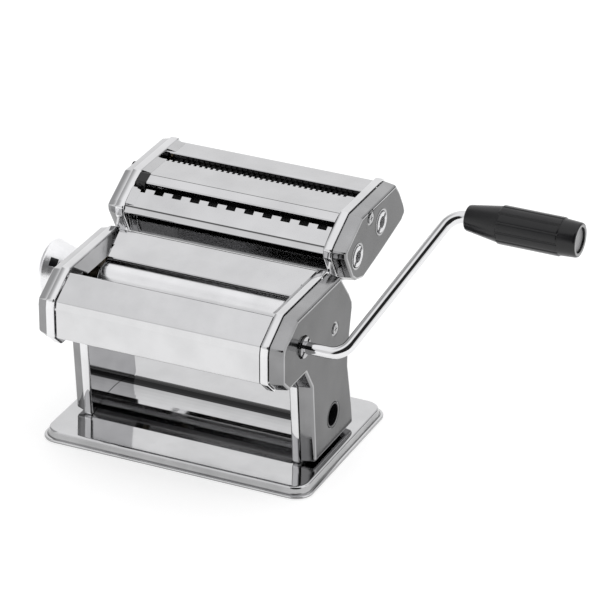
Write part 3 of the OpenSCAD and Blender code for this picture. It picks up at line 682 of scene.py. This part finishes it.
def base_plate():
    """Pressed plate: a rounded shoulder and a steep wall round its top face, a groove and a raised lip."""
    low, high = box_mm("base_plate")
    corner = 12
    outline = [(low.x, low.y), (high.x, low.y), (high.x, high.y), (low.x, high.y)]
    build = Build()

    def ring(inset, z):
        loop = rounded(moved_in(outline, inset), corner - 0.5 * inset, 14)
        return build.ring([(x, y, z) for x, y in with_supports(loop)])

    # Both sides of the sheet, as (distance from the outline, Z)
    lip_edge = [(0.7, low.z), (0.2, low.z + 0.06), (0, low.z + 0.4), (0, 1.5)]
    lip_top = [(0.08, 1.85), (0.3, 2.1), (0.6, 2.2), (1.6, 2.3)]
    groove = [(2.0, 2.4), (2.3, 2.7)]
    wall = [(2.45, 3.1), (2.7, 5.8), (2.85, 6.5)]
    shoulder = [(3.1, 7.0), (3.5, 7.35), (4.0, 7.55), (4.5, high.z), (4.9, high.z)]
    underside = [(1.4, low.z), (1.6, low.z + 0.3), (3.6, 0.9), (4.0, 1.4), (4.2, 5.0), (4.6, 5.8),
                 (5.2, 6.0), (5.6, 6.0)]

    outer = []
    # painted shade: the lip's edge and the groove take the mid-grey steel and the wall the dark wall steel,
    # darker than the lip's top and the top face
    for section, slot in ((lip_edge, 2), (lip_top, 0), (groove, 2), (wall, 1), (shoulder, 0)):
        rings = [ring(inset, z) for inset, z in section]
        build.skin(outer[-1:] + rings, slot=slot)
        outer += rings
    inner = [ring(inset, z) for inset, z in underside]
    build.bridge(outer[0], inner[0])
    build.skin(inner)
    build.fill([outer[-1]])
    build.fill([inner[-1]])
    build.piece("base_pressing", "frame", (PANEL, SCREWS_AND_PAINTED_LIGHT, WALL_SHADE), "polished_steel", ("base_plate",))


# ---- Knob, grip and rollers ----

KNOB_FOOT, KNOB_RIM = -87.5, -104.6         # X of the knob's inner end and of the start of its dome
FLARE_FOOT = (KNOB_FOOT - 1, 15.08)         # (X, radius) at both ends of the flared side
FLARE_RIM = (KNOB_RIM + 1.4, 19.72)


def knob():
    """Flared knob with a domed end and a bore for its spring, and the index pin in its foot."""
    seat, dome_reach, dome_height, steps = 6.9, 13.35, 4.9, 18
    profile = [(KNOB_FOOT, 3.1), (KNOB_FOOT, 14), (KNOB_FOOT - 0.12, 14.55), (KNOB_FOOT - 0.5, 14.9)]
    profile += [FLARE_FOOT, FLARE_RIM, (KNOB_RIM + 0.8, 19.95), (KNOB_RIM + 0.35, 20.12)]
    for step in range(1, steps + 1):
        turn = math.pi / 2 * step / steps
        reach = dome_reach * math.cos(turn) ** 0.62 if step < steps else 0
        profile.append((KNOB_RIM - dome_height * math.sin(turn), seat + reach))
    profile += [(-109.45, 6.5), (-109.2, 6.42), (-96.4, 6.4), (-96, 6.2), (-96, 3.3), (-95.8, 3.1)]
    build = Build()
    lathe(build, profile, KNOB_AXIS, closed=True)
    build.piece("knob_turning", "knob", (KNOB,), "knob_plastic", ("knob",))

    tip, root, pin_r, off_axis = -86.2, KNOB_FOOT - 0.5, 1.4, 12
    pin = Build()
    lathe(pin, [(tip, 0), (tip, 1.0), (tip - 0.1, 1.3), (tip - 0.4, pin_r), (root, pin_r), (root, 0)],
          (KNOB_AXIS[0] + off_axis, KNOB_AXIS[1]), 24)
    pin.piece("knob_pin", "knob", (PLAIN,), "satin_steel")


def knob_mark():
    """Pointer mark: a thin black inlay standing just proud of the knob's flared side."""
    start, length, proud, deep = -95.6, 5, 0.12, -0.3
    columns, rows = 8, 8
    spread, middle = math.radians(9), math.radians(138)
    turns = [middle + spread * (2 * j / columns - 1) for j in range(columns + 1)]
    slope = (FLARE_RIM[1] - FLARE_FOOT[1]) / (FLARE_RIM[0] - FLARE_FOOT[0])
    build = Build()
    borders = []
    for lift in (proud, deep):
        grid = []
        for i in range(rows + 1):
            x = start - length * i / rows
            radius = FLARE_FOOT[1] + slope * (x - FLARE_FOOT[0]) + lift
            arc = [(KNOB_AXIS[0] + radius * math.cos(t), KNOB_AXIS[1] + radius * math.sin(t))
                   for t in turns]
            grid.append(build.at_x(arc, x))
        build.skin(grid, closed=False)
        borders.append(grid[0] + [row[-1] for row in grid[1:]]
                       + grid[-1][-2::-1] + [row[0] for row in grid[-2:0:-1]])
    build.bridge(*borders)
    build.piece("knob_mark", "knob", (BLACK,), "black_plastic")


def knob_cap():
    """Flat button in the knob's end."""
    low, high = box_mm("knob_cap")
    build = Build()
    profile = [(high.x, 0), (high.x, 5.9), (high.x - 0.2, 6.25), (low.x + 0.9, 6.35), (low.x + 0.35, 6.2),
               (low.x + 0.08, 5.8), (low.x, 5.2), (low.x + 0.02, 0)]
    lathe(build, profile, KNOB_AXIS)
    build.piece("knob_button", "knob", (KNOB,), "knob_plastic", ("knob_cap",))


def grip():
    """Tapered grip with a fluted middle, and the grey disc that closes its outer end."""
    low, high = box_mm("crank_grip")
    axis = joint_place("grip_spin")
    flutes, fluted_r = 12, 12.5
    flute_r, stand_off = 0.9, 0.25      # radius of a flute, and how far its centre is outside the grip
    pitch = 2 * math.pi / flutes
    across = (-1.15, -0.85, -0.8, -0.6, -0.3, 0, 0.3, 0.6, 0.8, 0.85, 1.15)
    between = (0.3, 0.5, 0.7)
    turns = []
    for i in range(flutes):
        turns += [i * pitch + s / fluted_r for s in across]
        turns += [(i + t) * pitch for t in between]
    depths = [max(0, math.sqrt(max(0, flute_r ** 2 - s * s)) - stand_off) for s in across]
    depths += [0] * len(between)
    build = Build()

    def ring(along, radius, fluted=0):
        points = []
        for i, turn in enumerate(turns):
            r = radius - fluted * depths[i % len(depths)]
            points.append((low.x + along, axis[0] + r * math.cos(turn), axis[1] + r * math.sin(turn)))
        return build.ring(points)

    # Rings along the grip, as (distance from the inner end, radius, share of the flutes' depth)
    end = high.x - low.x
    outside = [(0, 4.1), (0, 7.0), (0.08, 7.6), (0.35, 8.0), (0.9, 8.3), (1.6, 8.5),
               (22.2, 11.72), (22.7, 11.75), (22.9, 11.78), (23.0, 12.1, 0.4), (23.25, 12.35, 0.8),
               (23.7, 12.48, 1), (24.2, 12.5, 1), (63.3, 12.5, 1), (63.8, 12.46, 1), (64.2, 12.3, 0.7),
               (64.4, 12.05, 0.2), (64.5, 11.85), (65.0, 11.8), (end - 1.6, 11.25),
               (end - 0.8, 11.1), (end - 0.25, 10.8), (end - 0.03, 10.4), (end, 10.1)]
    lip = [(end, 8.8), (end - 0.05, 8.5), (end - 0.3, 8.36)]
    inside = [(end - 2.6, 8.35), (end - 2.6, 7.4), (end - 12.4, 7.4), (end - 12.4, 4.1)]
    outside, lip, inside = [[ring(*station) for station in part] for part in (outside, lip, inside)]
    build.skin(outside)
    # painted reflection: the lip round the grip's open end takes the grey of the disc, for the sheen on its
    # black end face
    build.skin(outside[-1:] + lip, slot=1)
    build.skin(lip[-1:] + inside)
    build.bridge(inside[-1], outside[0])
    build.piece("grip_moulding", "grip", (BLACK, DISC), "black_plastic", ("crank_grip",))

    back, front = box_mm("grip_cap")[0].x, high.x - 1.75
    disc = Build()
    profile = [(back, 0), (back, 8), (front - 0.2, 8.25), (front - 0.05, 8.1), (front, 7.8), (front, 0)]
    lathe(disc, profile, axis)
    disc.piece("grip_disc", "grip", (DISC,), "grey_plastic", ("grip_cap",))


def sheet_roller(node, body, joint, bore):
    """Ground roller barrel with chamfered ends on its journals."""
    low, high = box_mm(node)
    radius = (high.z - low.z) / 2
    barrel, journal = 67, 8
    half = [(high.x, bore), (high.x, journal - 0.4), (high.x - 0.4, journal), (barrel + 0.3, journal),
            (barrel, journal + 0.4), (barrel, radius - 0.9), (barrel - 0.12, radius - 0.45),
            (barrel - 0.45, radius - 0.1), (barrel - 0.9, radius), (barrel - 1.3, radius)]
    build = Build()
    lathe(build, half + [(-x, r) for x, r in reversed(half)], joint_place(joint), 128, closed=True)
    build.piece(node + "_turning", body, (ROLLER,), "satin_steel", (node,))


# ---- Everything that replaces a CAD node ----

SCREW_R, SOCKET_R = 3.6, 7.5

base_plate()
side_frame("side_frame_left", -1)
side_frame("side_frame_right", 1)
head_cover("side_cover_right", 1, [
    (DRIVE_AXIS, 7.6, PLAIN_RIM), (HEAD_SCREW, SCREW_R, DIMPLE), (CLAMP_HOLE, 8.6, ROUND_RIM)])
head_cover("side_cover_left", -1, [(KNOB_AXIS, 3.2, PLAIN_RIM), (HEAD_SCREW, SCREW_R, DIMPLE)])
knob()
knob_mark()
knob_cap()
grip()
sheet_roller("front_roller", "drive", "drive_spin", 4.15)
sheet_roller("rear_roller", "rear_roller_set", "rear_roller_spin", 5.5)
cutter_frame("cutter_frame_left", -1)
cutter_frame("cutter_frame_right", 1)
cutter_cover("cutter_cover_right", 1, [
    (WIDE_AXIS, SOCKET_R, COLLAR), (FINE_AXIS, SOCKET_R, COLLAR), (CUTTER_SCREW, SCREW_R, DIMPLE)])
cutter_cover("cutter_cover_left", -1, [(CUTTER_SCREW, SCREW_R, DIMPLE)])
slot_ends()


# ---- Floor, light and camera, in metres ----

def floor():
    """Plain pale floor with a weak light of its own, so that it runs into the background."""
    size = 12
    mesh = bpy.data.meshes.new("floor")
    corners = [(-size, -size, 0), (size, -size, 0), (size, size, 0), (-size, size, 0)]
    mesh.from_pydata(corners, [], [(0, 1, 2, 3)])
    made = bpy.data.objects.new("floor", mesh)
    bpy.context.scene.collection.objects.link(made)
    p = Paint("floor_paint", (0.45, 0.45, 0.45), 0.0, 0.6)
    cloud = p.noise(3, 2)
    p.color(p.mixed(p.ranged(cloud, 0, 1), (0.46, 0.46, 0.46), (0.44, 0.44, 0.44)))
    p.roughness(p.ranged(cloud, 0.55, 0.7))
    p.shader.inputs["Emission Color"].default_value = (1, 1, 1, 1)
    p.shader.inputs["Emission Strength"].default_value = 0.68
    made.data.materials.append(p.mat)


STUDIO_TONE = (0.92, 0.92, 0.925, 1)

# Zones of the studio that the chrome mirrors: direction, cosines at the edge and at full tone, brightness
ZONES = (
    ((0, 0, 1), 0.5, 0.95, 1.0),                    # bright ceiling
    ((0.42, -0.79, 0.44), 0.75, 0.85, 0.02),        # dark front right
    ((-0.376, -0.805, 0.461), 0.95, 0.985, 0.75),   # slightly dim front left
    ((0.5, 0.8, 0.33), 0.82, 0.95, 0.66),           # dim rear right
    ((0.6, 0.8, 0.05), 0.955, 0.985, 0.12),         # dark patch low at the rear right
    ((-0.89, -0.1, 0.445), 0.75, 0.9, 0.42),        # dim left
)


def world():
    """Pale studio with the zones blended over it one by one."""
    made = bpy.data.worlds.new("studio")
    made.use_nodes = True
    bpy.context.scene.world = made
    tree = made.node_tree
    back = tree.nodes["Background"]
    place = tree.nodes.new("ShaderNodeTexCoord").outputs["Generated"]

    def zone(direction, start, end):
        dot = tree.nodes.new("ShaderNodeVectorMath")
        dot.operation = "DOT_PRODUCT"
        tree.links.new(place, dot.inputs[0])
        dot.inputs[1].default_value = Vector(direction).normalized()
        spread = tree.nodes.new("ShaderNodeMapRange")
        spread.interpolation_type = "SMOOTHSTEP"
        tree.links.new(dot.outputs["Value"], spread.inputs["Value"])
        for name, number in (("From Min", start), ("From Max", end), ("To Min", 0), ("To Max", 1)):
            spread.inputs[name].default_value = number
        return spread.outputs["Result"]

    last = None
    for direction, start, end, value in ZONES:
        mix = tree.nodes.new("ShaderNodeMix")
        mix.data_type = "RGBA"
        tree.links.new(zone(direction, start, end), mix.inputs["Factor"])
        mix.inputs[6].default_value = STUDIO_TONE
        if last:
            tree.links.new(last, mix.inputs[6])
        mix.inputs[7].default_value = (*grey(value), 1)
        last = mix.outputs[2]
    tree.links.new(last, back.inputs["Color"])
    back.inputs["Strength"].default_value = 1.0


def soft_sun(direction, strength, angle):
    """Wide sun that lights the matt surfaces and isn't mirrored."""
    lamp = bpy.data.lights.new("soft_sun", "SUN")
    lamp.energy = strength
    lamp.angle = math.radians(angle)
    made = bpy.data.objects.new("soft_sun", lamp)
    bpy.context.scene.collection.objects.link(made)
    made.rotation_euler = Vector(direction).to_track_quat("Z", "Y").to_euler()
    made.visible_glossy = False


def camera():
    """Camera at the photo's angle."""
    azimuth, elevation = math.radians(25.06), math.radians(27.45)
    back = Vector((math.sin(azimuth) * math.cos(elevation), -math.cos(azimuth) * math.cos(elevation),
                   math.sin(elevation)))
    lens = bpy.data.cameras.new("camera")
    lens.sensor_width = 36
    lens.lens = 229.3
    made = bpy.data.objects.new("camera", lens)
    bpy.context.scene.collection.objects.link(made)
    made.location = (0.97926, -1.96178, 1.23196)
    made.rotation_euler = (-back).to_track_quat("-Z", "Y").to_euler()
    bpy.context.scene.camera = made


floor()
world()
soft_sun((0.2, 0.1, 0.95), 0.8, 60)
camera()
bpy.context.scene.view_settings.view_transform = "Standard"
